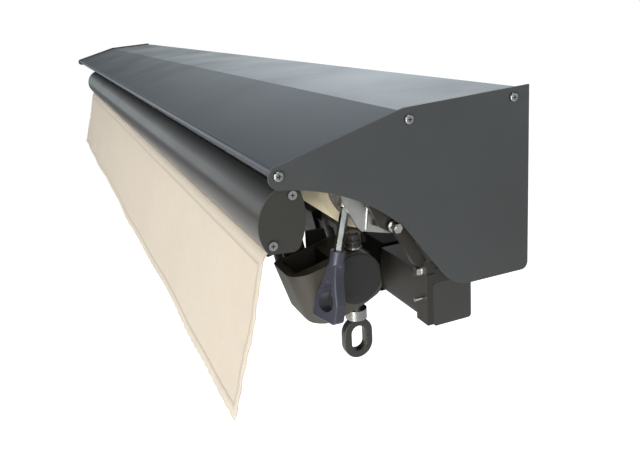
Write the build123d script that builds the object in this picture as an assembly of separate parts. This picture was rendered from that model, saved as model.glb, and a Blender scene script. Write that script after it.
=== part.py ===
from build123d import *
import os
from math import acos, asin, atan2, cos, degrees, radians, sin

# A folding arm awning on a square torsion bar, under a folded sheet roof.
# Millimetres. X runs along the wall with the crank end at +X, Y points to the wall,
# whose face is Y = 0, and Z is up. The origin is the middle of the four wall bolts,
# at the height of the torsion bar's centre.

# Lengths along the wall
roof_length = 2000.0
front_bar_length = 1540.0
front_bar_right = 990.0
cloth_width = 1470.0
valance_width = 1510.0
bracket_spacing = 1630.0
roof_right = roof_length / 2
front_bar_left = front_bar_right - front_bar_length
arm_centre = (front_bar_right + front_bar_left) / 2

# Torsion bar
bar_side = 40.0
bar_wall = 2.5
bar_corner = 3.0
bar_y = -86.0
bar_front = bar_y - bar_side / 2
bar_rear = bar_y + bar_side / 2
bar_top = bar_side / 2
bar_cap_thick = 3.0
bar_plug_play = 0.4
bar_plug_length = 14.0
bar_plug_corner = 2.2
bar_end = roof_right - 4.0 - bar_cap_thick

# Roof: two end plates and a folded panel between them
plate_thick = 2.0
plate_rear = -5.0
plate_nose = (-247.5, 144.5)
plate_ridge = (-133.0, 178.4)
plate_back_top = (plate_rear, 186.5)
plate_base = 15.0
plate_base_front = -74.0
plate_nose_round = (-251.9, 137.0)
plate_cut_start = (-240.5, 126.2)
plate_cut_middle = (-192.8, 114.4)
plate_cut_turn = (-134.1, 76.6)
plate_cut_end = (-98.0, 29.2)
plate_heel_round = (-88.5, 20.5)
plate_lip = 3.0
panel_thick = 2.0
roof_screws = ((-244.0, 137.7), (-129.1, 168.6), (-22.8, 176.6))
screw_shank = 1.95
screw_port = 2.05
screw_head = 4.0

# Fabric roller
roller_y = -150.0
roller_z = 113.0
roll_radius = 43.5
tube_radius = 35.0
tube_wall = 2.0
roll_right = 958.0
roll_left = roll_right - cloth_width
cloth_thick = 0.6

# Crank gear at the right end of the roller
gear_inner_x = 962.0
gear_outer_x = 978.0
gear_x = (gear_inner_x + gear_outer_x) / 2
gear_centres = 20.6
rod_lean = 12.4
worm_radius = 6.0
wheel_radius = 14.1
rod_flats = 7.0

# Arms, folded inwards, in a plane that falls towards the front
arm_pitch = 12.0
arm_length = 630.0
arm_width = 32.0
arm_height = 28.0
arm_wall = 2.2
shoulder_x = 880.0
shoulder_y = -140.0
shoulder_z = 47.0
pivot_gap = 58.0
arm_offset = 19.0
pin_radius = 6.0
pin_play = 0.05
knuckle_radius = 15.0
tongue_height = 14.0
fork_gap = 14.6

# Tilting shoulder bearing
tilt_y = -158.5
tilt_z = 14.0
tilt_pin_radius = 6.0
bearing_left = 903.0
bearing_right = 955.0
cover_y = -159.5
cover_z = 21.5
cover_radius = 23.8
spindle_x = 945.0
spindle_y = -157.0
spindle_radius = 5.0

# Front bar section, in Y and Z
nose_top = (-240.0, 126.5)
nose_front = (-259.2, 97.0)
nose_corner = (-251.9, 73.6)
heel_start = (-231.0, 72.1)
heel_round = (-227.2, 73.6)
heel_low = (-225.0, 76.6)
heel_back = (-219.4, 98.0)
heel_top = (-223.0, 121.4)
crown = (-231.0, 126.6)
front_wall = 2.2
front_cap_thick = 2.0
front_screws = ((-230.1, 118.8), (-248.6, 80.6))
front_port_radius = 6.0
welt_radius = 3.2
top_groove = (-238.0, 119.6)
low_groove = (-238.0, 78.9)

pitch_in = sin(radians(arm_pitch))
pitch_out = cos(radians(arm_pitch))
forward = Vector(0, -pitch_out, -pitch_in)
arm_up = Vector(0, -pitch_in, pitch_out)
rest_swing = asin(pivot_gap / 2 / arm_length)

os.makedirs("parts", exist_ok=True)


def on_left(piece):
    """The same piece at the other arm, mirrored about the middle of the front bar."""
    return mirror(piece, about=Plane.YZ.offset(arm_centre))


def across(face, start, end):
    """A face drawn in Y and Z, extruded along the wall from start to end."""
    low, high = min(start, end), max(start, end)
    return extrude(Plane.YZ.offset(low) * face, amount=high - low)


def outline(*points):
    return make_face(Polyline(*points, close=True))


def disc(centre, radius, start, end):
    """A round bar along the wall, centred at a Y and Z."""
    return across(Pos(*centre) * Circle(radius), start, end)


def rod_between(a, b, radius):
    """A round bar from one point to another."""
    a, b = Vector(*a), Vector(*b)
    return extrude(Plane(a, z_dir=b - a) * Circle(radius), amount=(b - a).length)


def box_between(low, high):
    size = [h - l for l, h in zip(low, high)]
    middle = [(h + l) / 2 for l, h in zip(low, high)]
    return Pos(*middle) * Box(*size)


def hex_face(flats):
    return RegularPolygon(radius=flats / 2, side_count=6, major_radius=False)


def write(name, *solids):
    """One file for the node, holding its separate solids."""
    made = []
    for solid in solids:
        made.extend(solid.solids())
    export_step(made[0] if len(made) == 1 else Compound(children=made), f"parts/{name}.step")


# Torsion bar and its end caps
def torsion_bar():
    outer = Pos(bar_y, 0) * RectangleRounded(bar_side, bar_side, bar_corner)
    inner_side = bar_side - 2 * bar_wall
    inner = Pos(bar_y, 0) * RectangleRounded(inner_side, inner_side, bar_corner / 2)
    return across(outer - inner, -bar_end, bar_end)


def bar_cap(side):
    plug_side = bar_side - 2 * bar_wall - bar_plug_play
    plug_face = Pos(bar_y, 0) * RectangleRounded(plug_side, plug_side, bar_plug_corner)
    plug = across(plug_face, side * (bar_end - bar_plug_length), side * bar_end)
    face = Pos(bar_y, 0) * RectangleRounded(bar_side, bar_side, bar_corner)
    return plug + across(face, side * bar_end, side * (bar_end + bar_cap_thick))


# Wall brackets: a plate on the wall, two ribs and a jaw that the bar lies in
bracket_width = 90.0
bracket_high = 65.0
bolt_rise = 50.0
wall_hole = 5.5
jaw_wall = 7.0
jaw_play = 0.1
jaw_front = bar_front - 14.0
lid_thick = 7.0
clamp_bolt_radius = 4.0
clamp_bolt_y = bar_front - 7.0
clamp_bolt_steps = (-30.0, 30.0)
clamp_flats = 13.0
clamp_head = 5.3
clamp_nut = 6.5


def clamp_hole(x, low, high):
    return rod_between((x, clamp_bolt_y, low), (x, clamp_bolt_y, high), clamp_bolt_radius + 0.3)


def wall_bracket(x):
    half = bracket_width / 2
    plate = box_between((x - half, -8, -bracket_high), (x + half, 0, bracket_high))
    jaw_low = -bar_side / 2 - jaw_play - jaw_wall
    jaw_rear = bar_rear + jaw_play
    jaw_back = jaw_rear + jaw_wall
    jaw = box_between((x - half, jaw_rear, jaw_low), (x + half, jaw_back, bar_top + 12))
    shelf = box_between((x - half, jaw_front, jaw_low), (x + half, jaw_rear, jaw_low + jaw_wall))
    body = plate + jaw + shelf
    rib_shape = outline((-8, -56), (-8, 44), (jaw_back, bar_top + 8), (jaw_back, jaw_low))
    for rib_x in (x - 26, x + 18):
        body += across(rib_shape, rib_x, rib_x + 8)
    for z in (-bolt_rise, bolt_rise):
        body -= rod_between((x, -9, z), (x, 1, z), wall_hole)
    for step in clamp_bolt_steps:
        body -= clamp_hole(x + step, jaw_low - 1, jaw_low + jaw_wall + 1)
    return body


def bar_clamp(x):
    """The upper jaw, bolted down over the bar's top and front."""
    half = bracket_width / 2
    top = bar_top + jaw_play
    shelf_top = -bar_side / 2 - jaw_play
    lid = box_between((x - half, jaw_front, top), (x + half, bar_rear, top + lid_thick))
    skirt = box_between((x - half, jaw_front, shelf_top + 4), (x + half, bar_front - jaw_play, top))
    clamp = lid + skirt
    for step in clamp_bolt_steps:
        clamp -= clamp_hole(x + step, shelf_top, top + lid_thick + 1)
    return clamp


def clamp_bolt(x):
    """Hexagon bolt down through both jaws, with its nut under the lower one."""
    y = clamp_bolt_y
    top = bar_top + jaw_play + lid_thick
    low = -bar_side / 2 - jaw_play - jaw_wall - 8
    head = Pos(x, y, top) * extrude(hex_face(clamp_flats), amount=clamp_head)
    nut = Pos(x, y, low + 1.5) * extrude(hex_face(clamp_flats), amount=clamp_nut)
    return head + nut + rod_between((x, y, low), (x, y, top), clamp_bolt_radius)


# Roof carriers: bent strips from the bar's top up to the panel
carrier_thick = 4.0
carrier_half = 22.0
carrier_y = -72.0
carrier_screw_y = -91.0
carrier_screw_steps = (-12.0, 12.0)
carrier_places = (-700.0, 60.0, 700.0)
ridge_fall = (plate_back_top[1] - plate_ridge[1]) / (plate_back_top[0] - plate_ridge[0])


def panel_top(y):
    """Height of the rear facet's upper face."""
    return plate_back_top[1] - plate_lip - ridge_fall * (plate_back_top[0] - y)


def roof_carrier(x):
    """Foot on the bar, an upright and a flange bonded under the panel."""
    foot_front = -104.0
    flange_rear = -30.0
    upright_front = carrier_y - carrier_thick
    under_front = panel_top(upright_front) - panel_thick
    under_rear = panel_top(flange_rear) - panel_thick
    shape = outline(
        (foot_front, bar_top), (carrier_y, bar_top), (carrier_y, under_front - carrier_thick),
        (flange_rear, under_rear - carrier_thick), (flange_rear, under_rear),
        (upright_front, under_front), (upright_front, bar_top + carrier_thick),
        (foot_front, bar_top + carrier_thick),
    )
    strip = across(shape, x - carrier_half, x + carrier_half)
    for step in carrier_screw_steps:
        y = carrier_screw_y
        strip -= rod_between((x + step, y, bar_top - 1), (x + step, y, bar_top + 9), 3.2)
    return strip


def carrier_screw(x):
    """Self-tapping screw that holds a carrier's foot on the bar."""
    y = carrier_screw_y
    seat = bar_top + carrier_thick
    head = rod_between((x, y, seat), (x, y, seat + 3.2), 5.5)
    return head + rod_between((x, y, bar_top + 0.05), (x, y, seat), 2.9)


# Roof panel and end plates
def roof_panel():
    """One profile: rear flange, two facets, a round nose and three screw channels."""
    rear_x = plate_rear - 1.5
    top_rear = (rear_x, panel_top(rear_x))
    ridge = (plate_ridge[0], plate_ridge[1] - plate_lip)
    slope = (plate_ridge[1] - plate_nose[1]) / (plate_ridge[0] - plate_nose[0])
    nose_y = plate_nose[0] + 3.5
    nose = (nose_y, ridge[1] - slope * (ridge[0] - nose_y))
    inner_x = rear_x - panel_thick
    shape = outline(
        (rear_x, 150), top_rear, ridge, nose, (nose[0], nose[1] - panel_thick),
        (ridge[0], ridge[1] - panel_thick), (inner_x, panel_top(inner_x) - panel_thick), (inner_x, 150),
    )
    bead_y, bead_z = roof_screws[0]
    shape += Pos(bead_y, bead_z) * Circle(4.2)
    shape += Pos(bead_y + 2.6, bead_z - 4.6) * Circle(2.3)
    for y, z in roof_screws[1:]:
        shape += Pos(y, z) * Circle(5.8)
    for y, z in roof_screws:
        shape -= Pos(y, z) * Circle(screw_port)
    inside = roof_right - plate_thick
    return across(shape, -inside, inside)


def roof_plate(side):
    """Flat sheet with the cut-out that clears the front bar, the gear and the arm."""
    edges = [
        Line(plate_back_top, plate_ridge),
        Line(plate_ridge, plate_nose),
        ThreePointArc(plate_nose, plate_nose_round, plate_cut_start),
        ThreePointArc(plate_cut_start, plate_cut_middle, plate_cut_turn),
        Line(plate_cut_turn, plate_cut_end),
        ThreePointArc(plate_cut_end, plate_heel_round, (plate_base_front, plate_base)),
        Line((plate_base_front, plate_base), (plate_rear, plate_base)),
        Line((plate_rear, plate_base), plate_back_top),
    ]
    shape = make_face(edges)
    for y, z in roof_screws:
        shape -= Pos(y, z) * Circle(screw_shank + 0.2)
    plate = across(shape, side * (roof_right - plate_thick), side * roof_right)
    heel = (side * roof_right, plate_rear, plate_base)
    corner = plate.edges().filter_by(Axis.X).sort_by_distance(heel)[0]
    return fillet(corner, 7)


def pan_screw(side, y, z):
    """Pan head screw with a cross recess, its shank in a channel of the panel."""
    face = side * roof_right
    head = disc((y, z), screw_head, face, face + side * 2.4)
    rim = head.edges().filter_by(GeomType.CIRCLE).sort_by_distance((face + side * 3, y, z))[0]
    head = fillet(rim, 1.4)
    for size in ((3.8, 0.8), (0.8, 3.8)):
        head -= across(Pos(y, z) * Rectangle(*size), face + side * 1.0, face + side * 3)
    return head + disc((y, z), screw_shank, face - side * 16, face)


# Roller supports: a casting round the bar's front and top, with a strut up to the roller
strut_inner_x = 983.0
strut_outer_x = 990.0
foot_front = bar_front - 6.0
foot_top = bar_top + 9.0
foot_right = 996.0
foot_low = -18.0
foot_step_x = 978.0
foot_left = 915.0
foot_step_low = -8.5
boss_top = 41.0
gear_bolt = (-142.5, 78.5)
strut_bolt_at = (986.5, 31.5)
strut_bolt_seat = 5.9
strut_washer = 5.5
strut_washer_thick = 2.2
strut_bolt_flats = 9.0
strut_bolt_head = 5.0
lock_screw_at = (990.0, 6.3)
lock_screw_radius = 1.6
axle_radius = 6.0


def from_front(x, z, start, end, radius):
    """A round bar square to the foot's front face, from one Y to another."""
    return rod_between((x, start, z), (x, end, z), radius)


def foot_section(low):
    """Angle round the bar: a front wall down to the given height and a flange on top."""
    return outline((foot_front, low), (bar_front, low), (bar_front, bar_top),
                   (bar_rear, bar_top), (bar_rear, foot_top), (foot_front, foot_top))


def roller_support(with_gear):
    """Cast support, drawn for the right end."""
    body = across(foot_section(foot_low), foot_step_x, foot_right)
    body += across(foot_section(foot_step_low), foot_left, foot_step_x)
    body += box_between((foot_step_x, foot_front, bar_top), (foot_right - 1, foot_front + 9, boss_top))
    strut = outline((foot_front, foot_top), (-121.5, 40), (-130, 56), (-137.5, 68.5), (-153, 78),
                    (-164, 100), (-163, 124), (-140, 124), (-128, 102), (-126, 72), (-119.8, 60),
                    (-104, 33), (-103, foot_top - 1))
    body += across(strut, strut_inner_x, strut_outer_x)
    if with_gear:
        block = outline((-156.5, 96), (-156.5, 79), (-138, 71.5), (-133, 74), (-133, 96))
        body += across(block, gear_outer_x + 2.5, strut_inner_x)
        body -= disc(gear_bolt, 4.6, strut_inner_x, strut_outer_x + 1)
        body -= disc(gear_bolt, 2.8, gear_outer_x, strut_outer_x)
    body -= from_front(*strut_bolt_at, foot_front - 14, foot_front, strut_bolt_seat)
    body -= from_front(*strut_bolt_at, foot_front - 1, foot_front + 20, 3.2)
    body -= from_front(*lock_screw_at, foot_front - 1, bar_front, lock_screw_radius + 0.1)
    eye_radius = 5.0 if with_gear else axle_radius + pin_play
    body -= disc((roller_y, roller_z), eye_radius, strut_inner_x - 1, strut_outer_x + 1)
    return body


def strut_bolt():
    """Bolt through the foot's boss: hexagon head, washer and shank."""
    x, z = strut_bolt_at
    seat = foot_front - strut_washer_thick
    washer = from_front(x, z, foot_front, seat, strut_washer)
    head_plane = Plane((x, seat, z), z_dir=(0, -1, 0))
    head = extrude(head_plane * hex_face(strut_bolt_flats), amount=strut_bolt_head)
    return washer + head + from_front(x, z, seat, foot_front + 8, 3.0)


gear_bolt_radius = 2.5
gear_bolt_flats = 7.5
gear_sleeve_radius = 3.3
gear_sleeve_proud = 2.5
gear_washer_radius = 5.0
gear_washer_thick = 1.5
gear_nut_length = 7.5


def gear_screw():
    """Bolt that holds the gear on the support: a sleeve in the strut, a washer and a long nut."""
    sleeve_end = strut_outer_x + gear_sleeve_proud
    washer_end = sleeve_end + gear_washer_thick
    nut_end = washer_end + gear_nut_length
    hexagon = Pos(*gear_bolt) * hex_face(gear_bolt_flats)
    shank = disc(gear_bolt, gear_bolt_radius, gear_outer_x - 1, nut_end + 1)
    sleeve = disc(gear_bolt, gear_sleeve_radius, strut_inner_x, sleeve_end)
    head = across(hexagon, gear_outer_x - 3.5, gear_outer_x - 0.4)
    washer = disc(gear_bolt, gear_washer_radius, sleeve_end, washer_end)
    nut = across(hexagon, washer_end, nut_end)
    return shank + sleeve + head + washer + nut


def lock_screw():
    """Set screw through the foot's front wall, tight on the bar."""
    return from_front(*lock_screw_at, foot_front - 9.5, bar_front - 0.05, lock_screw_radius)


# Crank gear: housing, plate, worm on its hexagon rod and the worm wheel
lean_in = sin(radians(rod_lean))
lean_out = cos(radians(rod_lean))
rod_down = Vector(0, -lean_in, -lean_out)
worm_centre = Vector(gear_x, roller_y - gear_centres * lean_out, roller_z + gear_centres * lean_in)


def along_rod(distance):
    """Point on the crank's axis, measured down from the worm's middle."""
    return worm_centre + rod_down * distance


def on_rod(face, start, end):
    """A face across the crank's axis, extruded down it. Its first side runs along the wall."""
    plane = Plane(along_rod(start), x_dir=(1, 0, 0), z_dir=rod_down)
    return extrude(plane * face, amount=end - start)


def gearbox_housing():
    wheel_end = Pos(roller_y, roller_z) * Circle(19)
    worm_end = Pos(worm_centre.Y, worm_centre.Z) * Circle(10)
    shell = across(make_hull((wheel_end + worm_end).edges()), gear_inner_x, gear_outer_x)
    shell += on_rod(Circle(7.6), 0, 22)
    room = disc((roller_y, roller_z), wheel_radius + 0.8, gear_inner_x + 2, gear_outer_x - 2)
    room += on_rod(Circle(worm_radius + 0.4), -8.6, 14)
    shell -= room
    shell -= on_rod(Circle(4.65), 8, 24)
    shell -= disc((roller_y, roller_z), 8.1, gear_inner_x - 1, gear_inner_x + 3)
    return shell


def gear_plate():
    """Galvanised plate between the housing and the support."""
    shape = outline((-183.5, 108), (-181, 100), (-169.5, 78.5), (-166, 74.6), (-134, 66.8), (-127, 72),
                    (-127, 128), (-140, 136), (-172, 136), (-186, 126))
    face_x = gear_outer_x + 2.5
    plate = across(shape, gear_outer_x + 0.05, face_x)
    plate += rod_between((face_x, -161.8, 75.5), (face_x, -158.9, 100), 1.2)
    return plate - disc(gear_bolt, 2.8, gear_outer_x - 1, gear_outer_x + 4)


worm_half = 8.0
worm_grooves = 5
worm_step = 3.0
groove_half = 0.6
groove_depth = 1.3
rod_neck_radius = 4.6
hexagon_start = 24.0


def crank_shaft():
    worm = on_rod(Circle(worm_radius), -worm_half, worm_half)
    ring = Circle(worm_radius + 1) - Circle(worm_radius - groove_depth)
    for k in range(worm_grooves):
        middle = worm_step * (k - (worm_grooves - 1) / 2)
        worm -= on_rod(ring, middle - groove_half, middle + groove_half)
    neck = on_rod(Circle(rod_neck_radius), worm_half, hexagon_start)
    return worm + neck + on_rod(hex_face(rod_flats), hexagon_start, rod_end)


eye_start = 61.4
eye_length = 61.2
eye_turn = 20.0
eye_hole = 44.4
rod_end = 72.0
eye_half_thick = 6.0
eye_edge = 0.9
neck_radius = 6.8
neck_length = 16.0


def crank_eye():
    """Moulded eye: a round neck on the rod, flaring to a flat paddle with a keyhole."""
    across_rod = Vector(0, -lean_out, lean_in)
    turn = radians(eye_turn)
    facing = across_rod * cos(turn) + Vector(1, 0, 0) * sin(turn)
    plane = Plane(along_rod(eye_start), x_dir=rod_down, z_dir=facing)
    sides = []
    for side in (1, -1):
        sides.append([
            Line((11, 5.2 * side), (21, 6.0 * side)),
            ThreePointArc((21, 6.0 * side), (33, 9.4 * side), (44, 13.4 * side)),
            Line((44, 13.4 * side), (57.2, 13.9 * side)),
            ThreePointArc((57.2, 13.9 * side), (60.3, 12.8 * side), (eye_length, 10.0 * side)),
        ])
    ends = [Line((eye_length, 10.0), (eye_length, -10.0)), Line((11, 5.2), (11, -5.2))]
    body = extrude(plane * make_face([*sides[0], *sides[1], *ends]), amount=eye_half_thick, both=True)
    across_face = body.faces().sort_by(Axis(plane.origin, facing))
    body = chamfer(across_face[0].edges() + across_face[-1].edges(), eye_edge)
    keyhole = Pos(35.5, 0) * SlotOverall(18.5, 8.8) + Pos(eye_hole, 0) * Circle(8.9)
    body -= extrude(plane * keyhole, amount=eye_half_thick + 1, both=True)
    neck = on_rod(Circle(neck_radius), eye_start, eye_start + neck_length)
    neck_rim = neck.edges().filter_by(GeomType.CIRCLE).sort_by_distance(along_rod(eye_start + neck_length))[0]
    body += fillet(neck_rim, neck_radius - 1)
    return body - on_rod(hex_face(rod_flats + 0.1), eye_start - 1, rod_end + 0.1)


# Roller: tube, plugs, worm wheel and the cloth wound on it
def roller_tube():
    ring = Circle(tube_radius) - Circle(tube_radius - tube_wall)
    return across(Pos(roller_y, roller_z) * ring, roll_left - 3, roll_right + 1)


def drive_plug():
    centre = (roller_y, roller_z)
    plug = disc(centre, tube_radius - tube_wall - 0.03, roll_right - 34, roll_right + 1)
    plug -= disc(centre, 26, roll_right - 35, roll_right - 8)
    shaft = disc(centre, 8.0, roll_right + 1, gear_inner_x + 2.4)
    return plug + shaft + across(Pos(*centre) * Rectangle(9, 9), gear_inner_x + 2.4, gear_outer_x - 2.4)


wheel_teeth = 16
wheel_square = 9.1
tooth_space = (3.2, 2.4)


def worm_wheel():
    wheel = Circle(wheel_radius) - Rectangle(wheel_square, wheel_square)
    for k in range(wheel_teeth):
        wheel -= Rot(0, 0, 360 / wheel_teeth * k) * Pos(wheel_radius, 0) * Rectangle(*tooth_space)
    return across(Pos(roller_y, roller_z) * wheel, gear_inner_x + 2.6, gear_outer_x - 2.6)


def idler_plug():
    centre = (roller_y, roller_z)
    left = roll_left - 3
    plug = disc(centre, tube_radius - tube_wall - 0.03, left, left + 34)
    plug -= disc(centre, 26, left + 8, left + 35)
    return plug + disc(centre, axle_radius, left - 20.5, left)


def wound_cloth():
    ring = Circle(roll_radius) - Circle(tube_radius + 0.02)
    return across(Pos(roller_y, roller_z) * ring, roll_left, roll_right)


# Shoulder supports: clamped on the bar, with the pin that the bearing tilts on and a thin horn
# beside the folded arms
support_left_x = 862.0
support_right_x = 901.5
support_screws_x = (872.0, 892.0)
saddle_low = -22.8


def shoulder_support():
    saddle = outline((bar_front - 7, -21), (bar_front, saddle_low), (bar_rear + 6, saddle_low),
                     (bar_rear + 6, 27),
                     (bar_front + 4, 27), (bar_front - 10, 20), (tilt_y + 8, tilt_z + 8),
                     (tilt_y, tilt_z - 11), (tilt_y + 14, tilt_z - 20))
    shape = saddle + Pos(tilt_y, tilt_z) * Circle(11)
    body = across(shape, support_left_x, support_right_x)
    horn = outline((-163, 16), (-172, 18), (-184, 32), (-184, 54), (-166, 54), (-160, 24))
    body += across(horn, support_right_x - 5, support_right_x)
    hollow = bar_side / 2 + jaw_play
    body -= across(Pos(bar_y, 0) * Rectangle(2 * hollow, 2 * hollow), support_left_x - 1, support_right_x + 1)
    body -= disc((tilt_y, tilt_z), tilt_pin_radius, support_left_x - 1, support_right_x + 1)
    for x in support_screws_x:
        body -= rod_between((x, bar_rear - 1, 0), (x, bar_rear + 8, 0), 3.2)
    return body


def shoulder_screw(x):
    """Grub screw through the support's back, tight on the bar."""
    head = rod_between((x, bar_rear + 6, 0), (x, bar_rear + 10, 0), 5.5)
    return head + rod_between((x, bar_rear + 0.05, 0), (x, bar_rear + 6, 0), 3.0)


def tilt_pin():
    return disc((tilt_y, tilt_z), tilt_pin_radius, support_left_x, 932)


def arm_plane(origin, along):
    return Plane(origin, x_dir=along, z_dir=arm_up)


shoulder = Vector(shoulder_x, shoulder_y, shoulder_z)
rim_front = (-220.5, 31.5)
toe = (-206.6, -9.2)
front_lean = (toe[0] - rim_front[0]) / (rim_front[1] - toe[1])
near_corner = 20.0
far_corner = 4.0
trough_top = 60.0


def trough_plan():
    """The casting seen from above, leaning with its front face: the near corner is the rounder."""
    front = rim_front[0] - (trough_top - rim_front[1]) * front_lean
    middle = ((bearing_left + bearing_right) / 2, (front + bar_front) / 2)
    plan = Pos(*middle) * Rectangle(bearing_right - bearing_left, bar_front - front)
    for corner_x, radius in ((bearing_right, near_corner), (bearing_left, far_corner)):
        corner = plan.vertices().sort_by_distance((corner_x, front, 0))[0]
        plan = fillet(corner, radius)
    leaning = Vector(0, front_lean, -1)
    return extrude(Pos(0, 0, trough_top) * plan, amount=90, dir=leaning)


def arm_bearing():
    """Tilting casting: a hub, a trough open at the top and a fork for the upper arm."""
    side = make_face([
        Line(rim_front, (-173, 43)),
        ThreePointArc((-173, 43), (-159.5, 46.1), (-146, 42)),
        Line((-146, 42), (-136, 30)),
        Line((-136, 30), (-134.5, 12)),
        ThreePointArc((-134.5, 12), (-135.9, 6.3), (-139.8, 2.2)),
        ThreePointArc((-139.8, 2.2), (-166, -9.0), (-191, -14.5)),
        Line((-191, -14.5), (-200, -14.5)),
        ThreePointArc((-200, -14.5), (-204.6, -12.9), toe),
        Line(toe, rim_front),
    ])
    body = across(side, bearing_left, bearing_right) & trough_plan()
    room = make_face([
        Line((-180, trough_top), (-180, 4)),
        ThreePointArc((-180, 4), (-192, -6), (-202.5, 0)),
        Line((-202.5, 0), (-221, trough_top)),
        Line((-221, trough_top), (-180, trough_top)),
    ])
    body -= across(room, bearing_left + 5, bearing_right - 12)
    body -= disc((tilt_y, tilt_z), tilt_pin_radius + pin_play, bearing_left - 1, 933)
    body -= rod_between((spindle_x, spindle_y, -20), (spindle_x, spindle_y, 60), spindle_radius + pin_play)
    plane = arm_plane(shoulder, (1, 0, 0))
    for low, high in ((fork_gap / 2, arm_height / 2), (-arm_height / 2, -fork_gap / 2)):
        lug = Circle(knuckle_radius) + Pos(14, 0) * Rectangle(28, 2 * knuckle_radius - 4)
        body += extrude(plane.offset(low) * lug, amount=high - low)
    web = Pos(21, 0) * Rectangle(8, 2 * knuckle_radius - 4)
    body += extrude(plane.offset(-arm_height / 2) * web, amount=arm_height)
    hole = extrude(plane.offset(-20) * Circle(pin_radius + 0.01), amount=40)
    return body - hole


def bearing_cover():
    """Round cap pressed on the bearing's outer face."""
    cap = disc((cover_y, cover_z), cover_radius, bearing_right, bearing_right + 2.5)
    rim = cap.edges().filter_by(GeomType.CIRCLE).sort_by_distance((bearing_right + 4, cover_y, cover_z))[0]
    return fillet(rim, 1.5)


def shoulder_pin():
    plane = arm_plane(shoulder, (1, 0, 0))
    pin = extrude(plane.offset(-arm_height / 2) * Circle(pin_radius), amount=arm_height)
    return pin


ring_half_width = 14.3
ring_top = -20.4
ring_bottom = -58.8
ring_bar = 7.4


def pitch_spindle():
    """Screw spindle that sets the pitch, with an oval eye for the crank hook."""
    shaft = rod_between((spindle_x, spindle_y, -22), (spindle_x, spindle_y, 62.5), spindle_radius)
    height = ring_top - ring_bottom
    centre_z = (ring_top + ring_bottom) / 2
    loop = Pos(spindle_y, centre_z) * (
        SlotOverall(height, 2 * ring_half_width, rotation=90)
        - SlotOverall(height - 2 * ring_bar, 2 * (ring_half_width - ring_bar), rotation=90)
    )
    eye = across(loop, spindle_x - 4.2, spindle_x + 4.2)
    eye = fillet(eye.edges(), 1.2)
    return shaft + eye


collar_radius = 10.0
collar_low = -20.0
collar_height = 9.2
press_gap = 0.02
nut_radius = 7.0
nut_flange_radius = 7.8
nut_low = 47.6
nut_high = 61.0
nut_grooves = (51.4, 55.4)


def pitch_collar():
    """Collar pressed on the spindle, under the bearing."""
    ring = Circle(collar_radius) - Circle(spindle_radius + press_gap)
    return Pos(spindle_x, spindle_y, collar_low) * extrude(ring, amount=collar_height)


def pitch_nut():
    """Round nut locked on the spindle's top end, with a flange and two turned grooves."""
    centre = (spindle_x, spindle_y)
    nut = rod_between((*centre, nut_low), (*centre, nut_high), nut_radius)
    nut += rod_between((*centre, nut_low), (*centre, nut_low + 1.4), nut_flange_radius)
    groove_ring = Circle(nut_radius + 1) - Circle(nut_radius - 0.8)
    for z in nut_grooves:
        nut -= Pos(*centre, z) * extrude(groove_ring, amount=1.2)
    return nut - rod_between((*centre, nut_low - 1), (*centre, nut_high + 1), spindle_radius + press_gap)


# Arms: each drawn in its own plane, x from one pivot to the next, z across the arm plane
rest_out = Vector(-cos(rest_swing), 0, 0) + forward * sin(rest_swing)
elbow = shoulder + rest_out * arm_length
rest_back = Vector(cos(rest_swing), 0, 0) + forward * sin(rest_swing)
front_pivot = elbow + rest_back * arm_length
casting_reach = 46.0
tube_start = casting_reach
tube_end = arm_length - casting_reach
bore_width = arm_width - 2 * arm_wall
bore_height = arm_height - 2 * arm_wall
plug_length = 26.0
skew = atan2(arm_offset, arm_length)


def placed(piece, origin, along):
    return arm_plane(origin, along).location * piece


def bar_at_offset(start, end, width, height, side):
    """A bar on the slanting line that runs from the pivot to an offset at the elbow."""
    turn = degrees(skew) * side
    slab = Pos((start + end) / 2, 0, 0) * Box(end - start, width, height)
    return Rot(0, 0, turn) * slab


def arm_tube(side):
    tube = bar_at_offset(tube_start, tube_end, arm_width, arm_height, side)
    core = bar_at_offset(tube_start - 1, tube_end + 1, bore_width, bore_height, side)
    tube = fillet(tube.edges().filter_by(lambda e: e.length > 400), 4)
    return tube - core


def inner_knuckle(side):
    """Casting plugged into the tube's first end, with a single tongue for the pivot."""
    plug = bar_at_offset(tube_start, tube_start + plug_length, bore_width - 0.2, bore_height - 0.2, side)
    block = bar_at_offset(26, tube_start, arm_width, arm_height, side)
    tongue = Cylinder(knuckle_radius, tongue_height) + Pos(15, 0, 0) * Box(30, 24, tongue_height)
    casting = plug + block + tongue
    return casting - Cylinder(pin_radius + pin_play, 60)


def elbow_end(side, forked):
    """Casting at the elbow: two lugs on the upper arm, one tongue on the forearm."""
    plug = bar_at_offset(tube_end - plug_length, tube_end, bore_width - 0.2, bore_height - 0.2, side)
    block = bar_at_offset(tube_end, arm_length - 24, arm_width, arm_height, side)
    reach = Pos(arm_length, 0, 0)
    root = Pos(-24, side * arm_offset) * Rectangle(2, arm_width - 2)
    pad = make_hull((Circle(knuckle_radius) + root).edges())
    half = arm_height / 2
    if forked:
        lugs = Pos(0, 0, fork_gap / 2) * extrude(pad, amount=half - fork_gap / 2)
        lugs += Pos(0, 0, -half) * extrude(pad, amount=half - fork_gap / 2)
        casting = plug + block + reach * lugs
        return casting - reach * Cylinder(pin_radius + 0.01, 60)
    tongue = Pos(0, 0, -tongue_height / 2) * extrude(pad, amount=tongue_height)
    casting = plug + block + reach * tongue
    return casting - reach * Cylinder(pin_radius + pin_play, 60)


def pivot_pin():
    return Cylinder(pin_radius, arm_height)


spring_radius = 9.5
spring_wire = 2.5
spring_start = tube_start + plug_length + 1
spring_length = 240.0
cable_radius = 2.0


def along_arm(radius, start, end, side):
    """A round bar down the middle of an arm's tube."""
    bar = Rot(0, 90, 0) * Cylinder(radius, end - start)
    return Rot(0, 0, degrees(skew) * side) * Pos((start + end) / 2, 0, 0) * bar


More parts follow.
